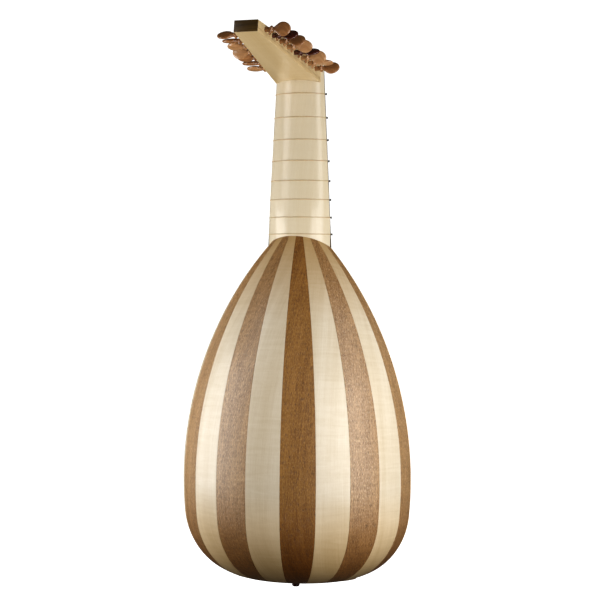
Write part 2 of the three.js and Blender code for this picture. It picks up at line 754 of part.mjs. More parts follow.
range(RIB_COUNT).forEach((i) => add(`rib_${i + 1}`, ribGeometry(i), i % 2 === 0 ? walnut : maple));
add('neck_block', neckBlockGeometry(), spruce);
add('end_clasp', claspGeometry(), walnut);
add('tail_liner', linerGeometry(), spruce);
add('end_button', buttonGeometry(), plum).position.y = BUTTON_Y;

add('soundboard', soundboardGeometry(), spruce);
BAR_POSITIONS.forEach((z, i) => add(`bar_${i + 1}`, barGeometry(z), spruce));
add('bridge', bridgeGeometry(), plum);

add('neck', neckGeometry(), neckMaple);
add('fingerboard', acrossNeck(BODY_LENGTH + GAP / 2, NUT_Z - GAP, 0, FINGERBOARD_THICKNESS), darkVeneer);
add('nut', acrossNeck(NUT_Z, NUT_Z + NUT_WIDTH, -NUT_HEIGHT, FINGERBOARD_THICKNESS), boneWhite);
range(FRET_COUNT).forEach((i) => add(`fret_${i + 1}`, fretGeometry(i + 1), gut));

add('pegbox_bass_cheek', cheekGeometry(-1), neckMaple, pegboxFrame);
add('pegbox_treble_cheek', cheekGeometry(1), neckMaple, pegboxFrame);
add('pegbox_back', pegboxBackGeometry(), neckMaple, pegboxFrame);
add('pegbox_end_block', endBlockGeometry(), neckMaple, pegboxFrame);
add('pegbox_end_veneer', veneerGeometry(), darkVeneer, pegboxFrame);
pegs.forEach(({ name, sign, turn, y, depth }) => {
  const peg = add(name, pegGeometry(y), plum, pegboxFrame);
  peg.position.set(0, y, -depth);
  peg.rotation.set(radians(turn), 0, sign > 0 ? 0 : Math.PI);
});

range(COURSE_COUNT).forEach((i) => add(`course_${i + 1}`, courseGeometry(i + 1), gut));

const hanger = new THREE.Vector3(0, HANGER_Y, -pegboxDepth(HANGER_Y)).applyMatrix4(pegboxFrame.matrix);
lute.position.copy(hanger).negate();

export default lute;
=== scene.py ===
"""The looks of an eight-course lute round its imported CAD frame. Metres, +Z up the neck, strings at -Y."""

import json
import math

import bmesh
import bpy
from mathutils import Matrix, Quaternion, Vector


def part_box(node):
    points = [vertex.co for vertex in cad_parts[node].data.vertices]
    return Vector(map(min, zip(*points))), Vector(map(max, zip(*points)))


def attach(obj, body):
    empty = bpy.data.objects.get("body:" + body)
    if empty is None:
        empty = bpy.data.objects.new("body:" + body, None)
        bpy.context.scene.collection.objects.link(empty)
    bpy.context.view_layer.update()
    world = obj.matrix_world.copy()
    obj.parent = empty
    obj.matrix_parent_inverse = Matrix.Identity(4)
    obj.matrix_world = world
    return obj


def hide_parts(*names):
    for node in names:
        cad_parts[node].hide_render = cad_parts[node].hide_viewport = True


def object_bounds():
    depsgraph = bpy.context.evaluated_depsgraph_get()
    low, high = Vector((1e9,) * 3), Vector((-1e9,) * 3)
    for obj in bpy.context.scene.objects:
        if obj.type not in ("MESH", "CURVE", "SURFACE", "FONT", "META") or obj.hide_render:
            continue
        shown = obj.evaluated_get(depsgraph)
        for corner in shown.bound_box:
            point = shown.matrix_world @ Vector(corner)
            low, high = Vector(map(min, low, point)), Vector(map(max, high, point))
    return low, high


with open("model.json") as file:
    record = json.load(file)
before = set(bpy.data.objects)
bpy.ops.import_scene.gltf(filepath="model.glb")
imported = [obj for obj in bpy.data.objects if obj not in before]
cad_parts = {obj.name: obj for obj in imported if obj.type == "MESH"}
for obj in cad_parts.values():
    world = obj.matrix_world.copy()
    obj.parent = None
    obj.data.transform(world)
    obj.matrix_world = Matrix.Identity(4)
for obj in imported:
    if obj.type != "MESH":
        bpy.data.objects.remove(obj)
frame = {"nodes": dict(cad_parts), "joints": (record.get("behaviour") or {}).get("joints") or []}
CAD_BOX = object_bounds()

MM = 0.001
GAP = 0.3 * MM  # between neighbouring parts

# ---- places read from the frame ---------------------------------------------------------------------------

BOARD_LOW, BOARD_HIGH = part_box("soundboard")
FRONT_Y = BOARD_LOW.y
TAIL_Z = BOARD_LOW.z
BOARD_THICKNESS = BOARD_HIGH.y - BOARD_LOW.y
JOINT_Z = BOARD_HIGH.z - TAIL_Z + GAP / 2
NUT_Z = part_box("nut")[0].z - TAIL_Z
BRIDGE_LOW, BRIDGE_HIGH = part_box("bridge")
BRIDGE_Z = BRIDGE_HIGH.z - TAIL_Z
STRING_LENGTH = NUT_Z - BRIDGE_Z
PEG_JOINTS = {joint["child"]: joint for joint in frame["joints"]}


def place(x, y, z):
    """A point given from the tail and the soundboard's face, in the row frame."""
    return Vector((x, FRONT_Y + y, TAIL_Z + z))


# ---- driving sizes, as in the CAD model -------------------------------------------------------------------

HALF_WIDTH = 158.3 * MM
WIDEST_Z = 136 * MM
SIDE_RADIUS = 481 * MM
HIP_RADIUS = 98.4 * MM
HIP_DROP = math.radians(5.35)
DEPTH_RATIO = 0.86
BOWL_FRONT = BOARD_THICKNESS + GAP
RIB_COUNT = 11
RIB_PITCH = math.radians(17.07)
RIB_THICKNESS = 1.8 * MM
RIB_FLATNESS = 0.5
RIB_START_WIDTH = 10.5 * MM
JOINT_TILT = math.radians(28)

NECK_HALF_AT_JOINT = 45.1 * MM
NECK_HALF_AT_NUT = 33.15 * MM
NECK_DEPTH_AT_JOINT = 30.9 * MM
NECK_DEPTH_AT_NUT = 22.8 * MM
NECK_OVERRUN = 3.2 * MM
HEEL_LENGTH = 60 * MM
FINGERBOARD_THICKNESS = 2 * MM
FRET_RADIUS = 0.45 * MM
FRET_COUNT = 8

PEGBOX_BEND = math.radians(80.3)
PEGBOX_OFFSET = 3 * MM
PEGBOX_START = 7 * MM
PEGBOX_LENGTH = 206.2 * MM
PEGBOX_DEPTH_AT_NUT = 23.5 * MM
PEGBOX_DEPTH_AT_END = 14.8 * MM
PEGBOX_HALF_AT_NUT = 32.3 * MM
PEGBOX_HALF_AT_END = 15.7 * MM
PEGBOX_FLOOR = 5 * MM
PEGBOX_VENEER = 1.5 * MM

# ---- camera, stage and lights -----------------------------------------------------------------------------

CAMERA_AZIMUTH = math.radians(199.67)
CAMERA_ELEVATION = math.radians(0.71)
CAMERA_ROLL = math.radians(0.4)
CAMERA_DISTANCE = 2.2677
CAMERA_LENS = 100.6
AIM = place(-0.75 * MM, 0, 375.7 * MM)
NECK_AIM = place(0, 0, 680 * MM)
FLOOR_DROP = 0.22
FLOOR_RADIUS = 40
AMBIENT_COLOR = (1, 0.86, 0.68, 1)
AMBIENT_STRENGTH = 0.05


def direction(azimuth, elevation):
    """From the object towards a viewer; azimuth 0 is in front of the strings."""
    flat = math.cos(elevation)
    return Vector((math.sin(azimuth) * flat, -math.cos(azimuth) * flat, math.sin(elevation)))


def make_camera():
    data = bpy.data.cameras.new("camera")
    data.lens = CAMERA_LENS
    camera = bpy.data.objects.new("camera", data)
    bpy.context.scene.collection.objects.link(camera)
    away = direction(CAMERA_AZIMUTH, CAMERA_ELEVATION)
    camera.rotation_mode = "QUATERNION"
    camera.location = AIM + away * CAMERA_DISTANCE
    camera.rotation_quaternion = (-away).to_track_quat("-Z", "Y") @ Quaternion((0, 0, 1), CAMERA_ROLL)
    bpy.context.scene.camera = camera


def area_light(name, azimuth, elevation, distance, size, power, aim=AIM):
    """A soft rectangular lamp: angles in degrees, distance and size in metres, power in watts."""
    data = bpy.data.lights.new(name, "AREA")
    data.shape = "RECTANGLE"
    data.size, data.size_y = size
    data.energy = power
    light = bpy.data.objects.new(name, data)
    bpy.context.scene.collection.objects.link(light)
    away = direction(math.radians(azimuth), math.radians(elevation))
    light.location = aim + away * distance
    light.rotation_mode = "QUATERNION"
    light.rotation_quaternion = (-away).to_track_quat("-Z", "Y")
    return light


def make_lights():
    area_light("softbox_treble", 119, -8, 0.65, (0.42, 0.5), 2.75)
    area_light("softbox_bass", 236, -9, 0.65, (0.5, 0.5), 3.0)
    area_light("neck_treble", 136, 12, 1.1, (0.4, 0.6), 2.1, aim=NECK_AIM)
    area_light("neck_bass", 256, 12, 1.1, (0.5, 0.8), 3.0, aim=NECK_AIM)
    for name, azimuth in (("fill_treble", 72), ("fill_bass", 326)):
        fill = area_light(name, azimuth, 2, 2.0, (1.2, 1.2), 15)
        fill.visible_glossy = False


def make_world():
    """A white backdrop for the camera and a faint warm ambient light for everything else."""
    world = bpy.data.worlds.new("studio")
    world.use_nodes = True
    bpy.context.scene.world = world
    tree = world.node_tree
    tree.nodes.clear()
    path = tree.nodes.new("ShaderNodeLightPath")
    seen = tree.nodes.new("ShaderNodeBackground")
    lit = tree.nodes.new("ShaderNodeBackground")
    pick = tree.nodes.new("ShaderNodeMixShader")
    out = tree.nodes.new("ShaderNodeOutputWorld")
    seen.inputs["Color"].default_value = (1, 1, 1, 1)
    seen.inputs["Strength"].default_value = 1.0
    lit.inputs["Color"].default_value = AMBIENT_COLOR
    lit.inputs["Strength"].default_value = AMBIENT_STRENGTH
    tree.links.new(path.outputs["Is Camera Ray"], pick.inputs["Fac"])
    tree.links.new(lit.outputs[0], pick.inputs[1])
    tree.links.new(seen.outputs[0], pick.inputs[2])
    tree.links.new(pick.outputs[0], out.inputs["Surface"])
    bpy.context.scene.view_settings.view_transform = "Standard"
    bpy.context.scene.view_settings.look = "Medium High Contrast"


# ---- mesh helpers -----------------------------------------------------------------------------------------

def mix(a, b, share):
    return a + (b - a) * share


def steps(count, start, end):
    return [mix(start, end, i / count) for i in range(count + 1)]


def full_turn(count):
    """Evenly spaced angles once round a circle."""
    return steps(count, 0, 2 * math.pi)[:-1]


def finish_piece(obj, material, body="root", replaces=()):
    obj.data.materials.clear()
    obj.data.materials.append(material)
    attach(obj, body)
    if replaces:
        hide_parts(*replaces)
    return obj


def mesh_object(name, bm, sharp_angle=35):
    mesh = bpy.data.meshes.new(name)
    bm.normal_update()
    bm.to_mesh(mesh)
    bm.free()
    mesh.shade_smooth()
    mesh.set_sharp_from_angle(angle=math.radians(sharp_angle))
    obj = bpy.data.objects.new(name, mesh)
    bpy.context.scene.collection.objects.link(obj)
    return obj


def add_loft(bm, rings, closed=False, offset=0.0):
    """Adds a skin over rings of points, with UVs in metres: u round the ring, v along the rings."""
    uv = bm.loops.layers.uv.verify()
    verts = [[bm.verts.new(point) for point in ring] for ring in rings]
    count = len(rings[0])
    across = []
    for ring in rings:
        run = [offset]
        for i in range(count):
            run.append(run[-1] + (ring[(i + 1) % count] - ring[i]).length)
        across.append(run)
    along = [offset]
    bands = len(rings) if closed else len(rings) - 1
    for i in range(bands):
        along.append(along[-1] + (rings[(i + 1) % len(rings)][0] - rings[i][0]).length)
    for i in range(bands):
        j = (i + 1) % len(rings)
        for k in range(count):
            m = (k + 1) % count
            face = bm.faces.new((verts[i][k], verts[i][m], verts[j][m], verts[j][k]))
            spots = ((across[i][k], along[i]), (across[i][k + 1], along[i]),
                     (across[j][k + 1], along[i + 1]), (across[j][k], along[i + 1]))
            for loop, spot in zip(face.loops, spots):
                loop[uv].uv = spot
    if not closed:
        for ring in (verts[0][::-1], verts[-1]):
            cap = bm.faces.new(ring)
            for loop in cap.loops:
                loop[uv].uv = (loop.vert.co.x, loop.vert.co.y)


def loft_object(name, rings, closed=False, sharp_angle=35, offset=0.0):
    bm = bmesh.new()
    add_loft(bm, rings, closed=closed, offset=offset)
    return mesh_object(name, bm, sharp_angle)


END_GRAIN = 0.3  # a face whose normal is closer to the grain than this shows end grain


def grain_map(obj, grain, shift=0.0):
    """UVs in metres on flat-sided pieces: v runs along the grain, u across it on each face."""
    mesh = obj.data
    layer = mesh.uv_layers.active or mesh.uv_layers.new(name="grain")
    grain = grain.normalized()
    for face in mesh.polygons:
        across = face.normal.cross(grain)
        if across.length < END_GRAIN:
            across = face.normal.orthogonal()
        across.normalize()
        for index in face.loop_indices:
            point = mesh.vertices[mesh.loops[index].vertex_index].co
            layer.data[index].uv = (point.dot(across) + shift, point.dot(grain) + shift)


def softened(name, node, bevel, grain, shift=0.0):
    """A copy of a CAD node with its flat faces merged and its edges rounded."""
    bm = bmesh.new()
    bm.from_mesh(frame["nodes"][node].data)
    bmesh.ops.remove_doubles(bm, verts=bm.verts, dist=2e-6)
    bmesh.ops.dissolve_limit(bm, angle_limit=math.radians(0.1), verts=bm.verts, edges=bm.edges)
    sharp = [edge for edge in bm.edges if edge.calc_face_angle(0) > math.radians(30)]
    bmesh.ops.bevel(bm, geom=sharp, offset=bevel, segments=3, profile=0.5, affect="EDGES",
                    clamp_overlap=True)
    obj = mesh_object(name, bm, 40)
    grain_map(obj, grain, shift)
    return obj


def ring_round(centre, axis_a, axis_b, radius_a, radius_b, count):
    """Points of an ellipse round a centre."""
    angles = [2 * math.pi * k / count for k in range(count)]
    return [centre + axis_a * (radius_a * math.cos(t)) + axis_b * (radius_b * math.sin(t)) for t in angles]


def cord_rings(path, radius, sides=10):
    """Rings of a round cord along a path of points, carried without twist."""
    rings = []
    tangents = []
    for i in range(len(path)):
        before = path[max(i - 1, 0)]
        after = path[min(i + 1, len(path) - 1)]
        tangents.append((after - before).normalized())
    axis = tangents[0].orthogonal()
    for point, tangent in zip(path, tangents):
        axis = (axis - tangent * axis.dot(tangent)).normalized()
        rings.append(ring_round(point, axis, tangent.cross(axis), radius, radius, sides))
    return rings


# ---- procedural materials ---------------------------------------------------------------------------------

def srgb(red, green, blue):
    """A display colour (0 to 255) as the linear colour that shaders use."""
    def linear(value):
        value /= 255
        return value / 12.92 if value <= 0.04045 else ((value + 0.055) / 1.055) ** 2.4
    return (linear(red), linear(green), linear(blue), 1)


class Shader:
    """A new material with short calls for adding its nodes."""

    def __init__(self, name, coordinates="UV", **surface):
        self.material = bpy.data.materials.new(name)
        self.material.use_nodes = True
        self.tree = self.material.node_tree
        self.surface = self.tree.nodes["Principled BSDF"]
        for key, value in surface.items():
            self.surface.inputs[key.replace("_", " ").title()].default_value = value
        self.coordinates = self.tree.nodes.new("ShaderNodeTexCoord").outputs[coordinates]

    def node(self, kind, inputs=(), **settings):
        made = self.tree.nodes.new(kind)
        for key, value in settings.items():
            setattr(made, key, value)
        for key, value in dict(inputs).items():
            if isinstance(value, bpy.types.NodeSocket):
                self.tree.links.new(value, made.inputs[key])
            else:
                made.inputs[key].default_value = value
        return made

    def noise(self, scale, detail, roughness, distortion=0.0):
        """Noise stretched by a scale in cycles per metre along each coordinate."""
        spot = self.node("ShaderNodeMapping", {"Vector": self.coordinates, "Scale": scale})
        made = self.node("ShaderNodeTexNoise", {
            "Vector": spot.outputs[0], "Scale": 1.0, "Detail": detail, "Roughness": roughness,
            "Distortion": distortion})
        return made.outputs["Fac"]

    def ramp(self, value, low, high, start=0.0, end=1.0):
        """Spreads value between low and high to run from start to end."""
        return self.node("ShaderNodeMapRange", {
            "Value": value, "From Min": low, "From Max": high, "To Min": start, "To Max": end}).outputs[0]

    def blend(self, factor, first, second, mode="MIX"):
        made = self.node("ShaderNodeMix", data_type="RGBA", blend_type=mode)
        for index, value in ((0, factor), (6, first), (7, second)):
            if isinstance(value, bpy.types.NodeSocket):
                self.tree.links.new(value, made.inputs[index])
            else:
                made.inputs[index].default_value = value
        return made.outputs[2]

    def total(self, *weighted):
        """The sum of value * weight pairs."""
        result = None
        for value, weight in weighted:
            part = self.node("ShaderNodeMath", {0: value, 1: weight}, operation="MULTIPLY").outputs[0]
            if result is not None:
                part = self.node("ShaderNodeMath", {0: result, 1: part}, operation="ADD").outputs[0]
            result = part
        return result

    def painted_end_shade(self, body, tail_shade, neck_shade):
        """Painted shade: darkens and warms a rib's colour towards both ends, the tail and the neck end, where
        less light falls.
        """
        spot = self.tree.nodes.new("ShaderNodeTexCoord").outputs["Object"]
        height = self.node("ShaderNodeSeparateXYZ", {0: spot}).outputs["Z"]
        tail_share = self.ramp(height, TAIL_Z + 130 * MM, TAIL_Z + 30 * MM)
        neck_share = self.ramp(height, TAIL_Z + JOINT_Z - 100 * MM, TAIL_Z + JOINT_Z + 10 * MM)
        body = self.blend(tail_share, body, self.blend(1.0, body, tail_shade, "MULTIPLY"))
        return self.blend(neck_share, body, self.blend(1.0, body, neck_shade, "MULTIPLY"))

    def color(self, socket):
        self.tree.links.new(socket, self.surface.inputs["Base Color"])

    def roughness(self, value, low, high):
        socket = self.ramp(value, 0.3, 0.7, low, high)
        self.tree.links.new(socket, self.surface.inputs["Roughness"])

    def bump(self, height, distance, strength=1.0):
        made = self.node("ShaderNodeBump", {"Height": height, "Distance": distance, "Strength": strength})
        self.tree.links.new(made.outputs[0], self.surface.inputs["Normal"])


def spread(across, along):
    """A noise scale for wood in UV coordinates, in cycles per metre across and along the grain."""
    return across, along, across


# Painted shade: how the colour of a rib is multiplied at its tail and at its neck end, where less light
# falls.
MAPLE_END_SHADE = ((1.0, 0.82, 0.54, 1), (0.78, 0.6, 0.36, 1))
WALNUT_END_SHADE = ((0.66, 0.48, 0.28, 1), (0.95, 0.84, 0.66, 1))


def maple(name, pale, deep, flame=0.5, gloss=0.34, coat=0.3, ends=None):
    """Close-grained pale maple: fine fibres, slow colour bands and a faint cross figure under varnish."""
    shader = Shader(name, coat_weight=coat, coat_roughness=0.2)

    fibres = shader.noise(spread(700, 14), 4, 0.6)
    bands = shader.noise(spread(42, 2.0), 3, 0.5, 0.4)
    figure = shader.noise(spread(18, 150), 5, 0.62, 0.9)
    flecks = shader.noise(spread(900, 150), 2, 0.6)
    tone = shader.total((shader.ramp(fibres, 0.3, 0.7), 0.26), (shader.ramp(bands, 0.35, 0.65), 0.34),
                        (shader.ramp(figure, 0.3, 0.7), flame * 0.6), (shader.ramp(flecks, 0.3, 0.7), 0.14))
    body = shader.blend(tone, pale, deep)
    # With ends given, the rib gets painted shade towards its tail and neck end.
    shader.color(shader.painted_end_shade(body, *ends) if ends else body)
    shader.roughness(figure, gloss, gloss + 0.1)
    shader.bump(shader.total((fibres, 0.6), (figure, 0.5)), 0.00012, 0.5)
    return shader.material


def walnut(name, pale, deep, dark, painted_glint, gloss=0.38, coat=0.5, ends=WALNUT_END_SHADE):
    """Open-grained walnut: wandering colour bands, a faint ripple, flecked fibres, fine dark pores and pale
    painted glints that stand in for sparkle highlights on the varnish.
    """
    shader = Shader(name, coat_weight=coat, coat_roughness=0.3)

    bands = shader.noise(spread(85, 3), 4, 0.6, 0.6)
    ripple = shader.noise(spread(34, 190), 3, 0.6, 0.8)
    fibres = shader.noise(spread(560, 34), 3, 0.6)
    flecks = shader.noise(spread(760, 170), 3, 0.7)
    pores = shader.noise(spread(1500, 150), 2, 0.5)
    tone = shader.total((shader.ramp(bands, 0.3, 0.7), 0.36), (shader.ramp(ripple, 0.32, 0.68), 0.16),
                        (shader.ramp(fibres, 0.34, 0.66), 0.34), (shader.ramp(flecks, 0.36, 0.64), 0.3))
    # Painted highlight: pale flecks in the colour stand in for glints of light.
    painted_glints = shader.noise(spread(950, 300), 3, 0.6)
    body = shader.blend(shader.ramp(painted_glints, 0.5, 0.66, 0.0, 0.42), shader.blend(tone, pale, deep), painted_glint)
    pore_share = shader.ramp(pores, 0.58, 0.68, 0.0, 0.8)
    # Painted shade towards the rib's tail and neck end.
    shader.color(shader.painted_end_shade(shader.blend(pore_share, body, dark), *ends))
    shader.roughness(fibres, gloss, gloss + 0.14)
    shader.bump(shader.total((pore_share, -1.0), (fibres, 0.5), (flecks, 0.9)), 0.0003, 0.7)
    return shader.material


def plain_wood(name, pale, deep, gloss, lines=900, coat=0.2, kept_node=False):
    """A fine-grained turned or planed wood. Nodes kept from the CAD have their grain along X."""
    shader = Shader(name, "Object" if kept_node else "UV", coat_weight=coat, coat_roughness=0.2)
    band_scale, fibre_scale = spread(160, 9), spread(lines, 40)
    if kept_node:
        band_scale, fibre_scale = (9, 160, 160), (40, lines, lines)
    bands = shader.noise(band_scale, 4, 0.6, 0.6)
    fibres = shader.noise(fibre_scale, 3, 0.6)
    tone = shader.total((shader.ramp(bands, 0.3, 0.7), 0.6), (shader.ramp(fibres, 0.3, 0.7), 0.4))
    shader.color(shader.blend(tone, pale, deep))
    shader.roughness(fibres, gloss, gloss + 0.12)
    shader.bump(fibres, 0.0001, 0.5)
    return shader.material


def spruce(name):
    """Quarter-sawn spruce: straight year lines a millimetre or two apart, with a soft silk across them."""
    shader = Shader(name, "Object", coat_weight=0.08, coat_roughness=0.4)
    spot = shader.node("ShaderNodeMapping", {"Vector": shader.coordinates, "Scale": (1, 0, 0.02)})
    lines = shader.node("ShaderNodeTexWave", {
        "Vector": spot.outputs[0], "Scale": 190.0, "Distortion": 2.4, "Detail": 3.0, "Detail Scale": 0.5},
        bands_direction="X")
    silk = shader.noise((500, 500, 45), 3, 0.6)
    clouds = shader.noise((30, 0, 5), 3, 0.5)
    year = shader.ramp(lines.outputs["Fac"], 0.5, 1.0)
    tone = shader.total((year, 0.5), (shader.ramp(silk, 0.3, 0.7), 0.2),
                        (shader.ramp(clouds, 0.3, 0.7), 0.35))
    shader.color(shader.blend(tone, srgb(232, 204, 156), srgb(186, 138, 84)))
    shader.roughness(silk, 0.48, 0.6)
    shader.bump(shader.total((year, 0.7), (silk, 0.4)), 0.0001, 0.5)
    return shader.material


def gut(name, pale, deep):
    """Twisted gut: a slanting lay along the cord, waxy and slightly translucent."""
    shader = Shader(name, subsurface_weight=0.15, subsurface_scale=0.002)
    spot = shader.node("ShaderNodeMapping", {"Vector": shader.coordinates, "Rotation": (0, 0, 0.9)})
    lay = shader.node("ShaderNodeTexWave", {"Vector": spot.outputs[0], "Scale": 260.0, "Distortion": 0.5})
    cloud = shader.noise((300, 60, 300), 2, 0.5)
    tone = shader.total((lay.outputs["Fac"], 0.45), (shader.ramp(cloud, 0.3, 0.7), 0.55))
    shader.color(shader.blend(tone, pale, deep))
    shader.roughness(cloud, 0.34, 0.46)
    shader.bump(lay.outputs["Fac"], 0.00004, 0.6)
    return shader.material


def mottled(name, pale, deep, low, high, scale=900):
    """A dense material with a slight mottle, such as bone or charred gut."""
    shader = Shader(name, "Object")
    spots = shader.noise((scale, scale, scale), 3, 0.6)
    shader.color(shader.blend(shader.ramp(spots, 0.3, 0.7), pale, deep))
    shader.roughness(spots, low, high)
    shader.bump(spots, 0.00008, 0.5)
    return shader.material


def floor_paper():
    """Seamless white paper that glows, so that it stays as pale as the backdrop."""
    shader = Shader("floor_paper", "Object", emission_strength=1.0)
    fibres = shader.noise((60, 60, 60), 4, 0.6)
    shader.color(shader.blend(shader.ramp(fibres, 0.3, 0.7), srgb(250, 250, 250), srgb(244, 244, 243)))
    shader.surface.inputs["Emission Color"].default_value = (1, 1, 1, 1)
    shader.roughness(fibres, 0.8, 0.9)
    return shader.material


RIB_MAPLE = maple("rib_maple", srgb(236, 225, 205), srgb(208, 190, 158), coat=0.4, ends=MAPLE_END_SHADE)
RIB_WALNUT = walnut("rib_walnut", srgb(202, 163, 115), srgb(126, 90, 50), srgb(58, 38, 18),
                    srgb(236, 206, 164))
RIB_WALNUT_DEEP = walnut("rib_walnut_deep", srgb(180, 133, 72), srgb(112, 72, 27), srgb(50, 30, 10),
                         srgb(205, 160, 98), coat=0.3)
NECK_MAPLE = maple("neck_maple", srgb(238, 225, 198), srgb(224, 205, 168), flame=0.25, gloss=0.28, coat=0.7)
BOX_MAPLE = maple("pegbox_maple", srgb(232, 208, 164), srgb(210, 180, 126), flame=0.2, gloss=0.36)
PLUM = plain_wood("plum_mid", srgb(196, 142, 92), srgb(134, 84, 46), gloss=0.22, coat=0.6)
PLUM_DEEP = plain_wood("plum_deep", srgb(84, 34, 26), srgb(44, 16, 14), gloss=0.28)
# Painted shade and painted light: darker and paler copies of the peg plum, for pegs whose heads lie in shade
# and in light.
PLUM_PAINTED_SHADE = plain_wood("plum_painted_shade", srgb(104, 46, 30), srgb(66, 24, 16), gloss=0.2, coat=0.7)
PLUM_PAINTED_LIT = plain_wood("plum_painted_lit", srgb(214, 168, 120), srgb(170, 118, 74), gloss=0.22, coat=0.6)
END_VENEER = plain_wood("end_veneer", srgb(112, 84, 34), srgb(56, 38, 12), gloss=0.34, lines=1600)
DARK_BOARD = plain_wood("dark_board", srgb(70, 48, 30), srgb(34, 22, 14), gloss=0.36, lines=1600)
SPRUCE = spruce("spruce_board")
INNER_SPRUCE = plain_wood("inner_spruce", srgb(222, 190, 140), srgb(196, 158, 106), gloss=0.6, lines=800,
                          coat=0, kept_node=True)
FRET_GUT = gut("fret_gut", srgb(222, 198, 156), srgb(194, 164, 120))
STRING_GUT = gut("string_gut", srgb(226, 204, 160), srgb(196, 164, 112))
BASS_GUT = gut("bass_gut", srgb(178, 132, 84), srgb(132, 88, 50))
BONE = mottled("bone", srgb(242, 236, 220), srgb(226, 214, 188), 0.28, 0.4)
CHARRED = mottled("charred_gut", srgb(46, 42, 32), srgb(20, 18, 12), 0.3, 0.5, 1500)

# ---- bowl outline -----------------------------------------------------------------------------------------

SIDE = (HALF_WIDTH - SIDE_RADIUS, WIDEST_Z, SIDE_RADIUS)
HIP = (SIDE[0] + (SIDE_RADIUS - HIP_RADIUS) * math.cos(HIP_DROP),
       SIDE[1] - (SIDE_RADIUS - HIP_RADIUS) * math.sin(HIP_DROP), HIP_RADIUS)
TAIL_RADIUS = (HIP[0] ** 2 + HIP[1] ** 2 - HIP_RADIUS ** 2) / (2 * (HIP[1] - HIP_RADIUS))
TAIL = (0.0, TAIL_RADIUS, TAIL_RADIUS)
HIP_START = math.atan2(HIP[0], TAIL[1] - HIP[1])
SIDE_START = math.pi / 2 - HIP_DROP


def outline(heading, offset=0.0):
    """Half width and height of the body's edge where its outward normal has this heading, 0 at the tail."""
    arc = TAIL if heading < HIP_START else HIP if heading < SIDE_START else SIDE
    radius = arc[2] + offset
    return arc[0] + radius * math.sin(heading), arc[1] - radius * math.cos(heading)


def bowl_point(heading, turn, offset=0.0):
    half, z = outline(heading, offset)
    return Vector((half * math.sin(turn), BOWL_FRONT + DEPTH_RATIO * half * math.cos(turn), z))


def joint_heading(turn, offset=0.0, lift=0.0):
    """Where a lengthwise line of the bowl meets the slanting neck joint."""
    low, high = SIDE_START, math.radians(140)
    for _ in range(40):
        middle = (low + high) / 2
        point = bowl_point(middle, turn, offset)
        if point.z - JOINT_Z - point.y * math.tan(JOINT_TILT) < lift:
            low = middle
        else:
            high = middle
    return low


def headings(start, end, tail=8, hip=44, side=72):
    return (steps(tail, start, HIP_START)[:-1] + steps(hip, HIP_START, SIDE_START)[:-1]
            + steps(side, SIDE_START, end))


def in_row(rings):
    """Moves rings from the tail's coordinates into the row frame."""
    shift = place(0, 0, 0)
    return [[point + shift for point in ring] for ring in rings]


# ---- ribs -------------------------------------------------------------------------------------------------

RIB_COLUMNS = 8
RIB_EDGE = 0.15 * MM
RIB_EDGE_SUPPORT = 3 * RIB_EDGE
RIB_CREVICE = 0.03 * MM
DEEP_RIB = 5  # cut from a darker plank


def rib_line(turn, offset, inset):
    """A line of the bowl from the tail to the neck joint, moved round the bowl by the inset."""
    end = joint_heading(turn, offset, -GAP / 2)
    start = math.asin(RIB_START_WIDTH / TAIL_RADIUS)
    return [bowl_point(h, turn + inset / outline(h, offset)[0], offset) for h in headings(start, end)]


def make_rib(index):
    """One stave, slightly flattened across, with an eased edge along each joint."""
    quarter = math.pi / 2
    start = max(-quarter, (index - RIB_COUNT / 2) * RIB_PITCH)
    end = min(quarter, (index + 1 - RIB_COUNT / 2) * RIB_PITCH)

    def surface(turn, offset, inset=0.0):
        """A line of the rib, part way between the bowl's curve and the flat chord across the rib."""
        middle = (start + end) / 2
        curved = rib_line(turn, offset, inset)
        chord = math.cos((end - start) / 2) / math.cos(turn - middle)
        centre = [Vector((0, BOWL_FRONT, point.z)) for point in curved]
        return [c + (p - c) * mix(1, chord, RIB_FLATNESS) for c, p in zip(centre, curved)]

    outer = [surface(turn, 0.0, inset) for turn, inset in
             [(start, RIB_CREVICE + RIB_EDGE), (start, RIB_CREVICE + RIB_EDGE_SUPPORT)]
             + [(turn, 0.0) for turn in steps(RIB_COLUMNS, start, end)[1:-1]]
             + [(end, -RIB_CREVICE - RIB_EDGE_SUPPORT), (end, -RIB_CREVICE - RIB_EDGE)]]
    lines = ([surface(turn, -RIB_THICKNESS, inset) for turn, inset in
              [(start, RIB_CREVICE), ((start + end) / 2, 0.0), (end, -RIB_CREVICE)]]
             + [surface(end, -RIB_EDGE, -RIB_CREVICE)] + outer[::-1]
             + [surface(start, -RIB_EDGE, RIB_CREVICE)])
    rings = in_row([list(ring) for ring in zip(*lines)])
    rib = loft_object(f"rib_shell_{index + 1}", rings, sharp_angle=50, offset=0.37 * index)
    dark = index % 2 == 0
    walnut_tone = RIB_WALNUT_DEEP if index + 1 == DEEP_RIB else RIB_WALNUT
    finish_piece(rib, walnut_tone if dark else RIB_MAPLE,
                 replaces=[f"rib_{index + 1}"])


# ---- neck and fingerboard ---------------------------------------------------------------------------------

def up_the_neck(at_joint, at_nut, z):
    return mix(at_joint, at_nut, (z - JOINT_Z) / (NUT_Z - JOINT_Z))


def neck_half(z):
    return up_the_neck(NECK_HALF_AT_JOINT, NECK_HALF_AT_NUT, z)


def heel_point(angle):
    """Where a lengthwise line of the neck's back meets the bowl."""
    turn = math.pi / 2 - angle
    return bowl_point(joint_heading(turn, 0.0, GAP / 4), turn)


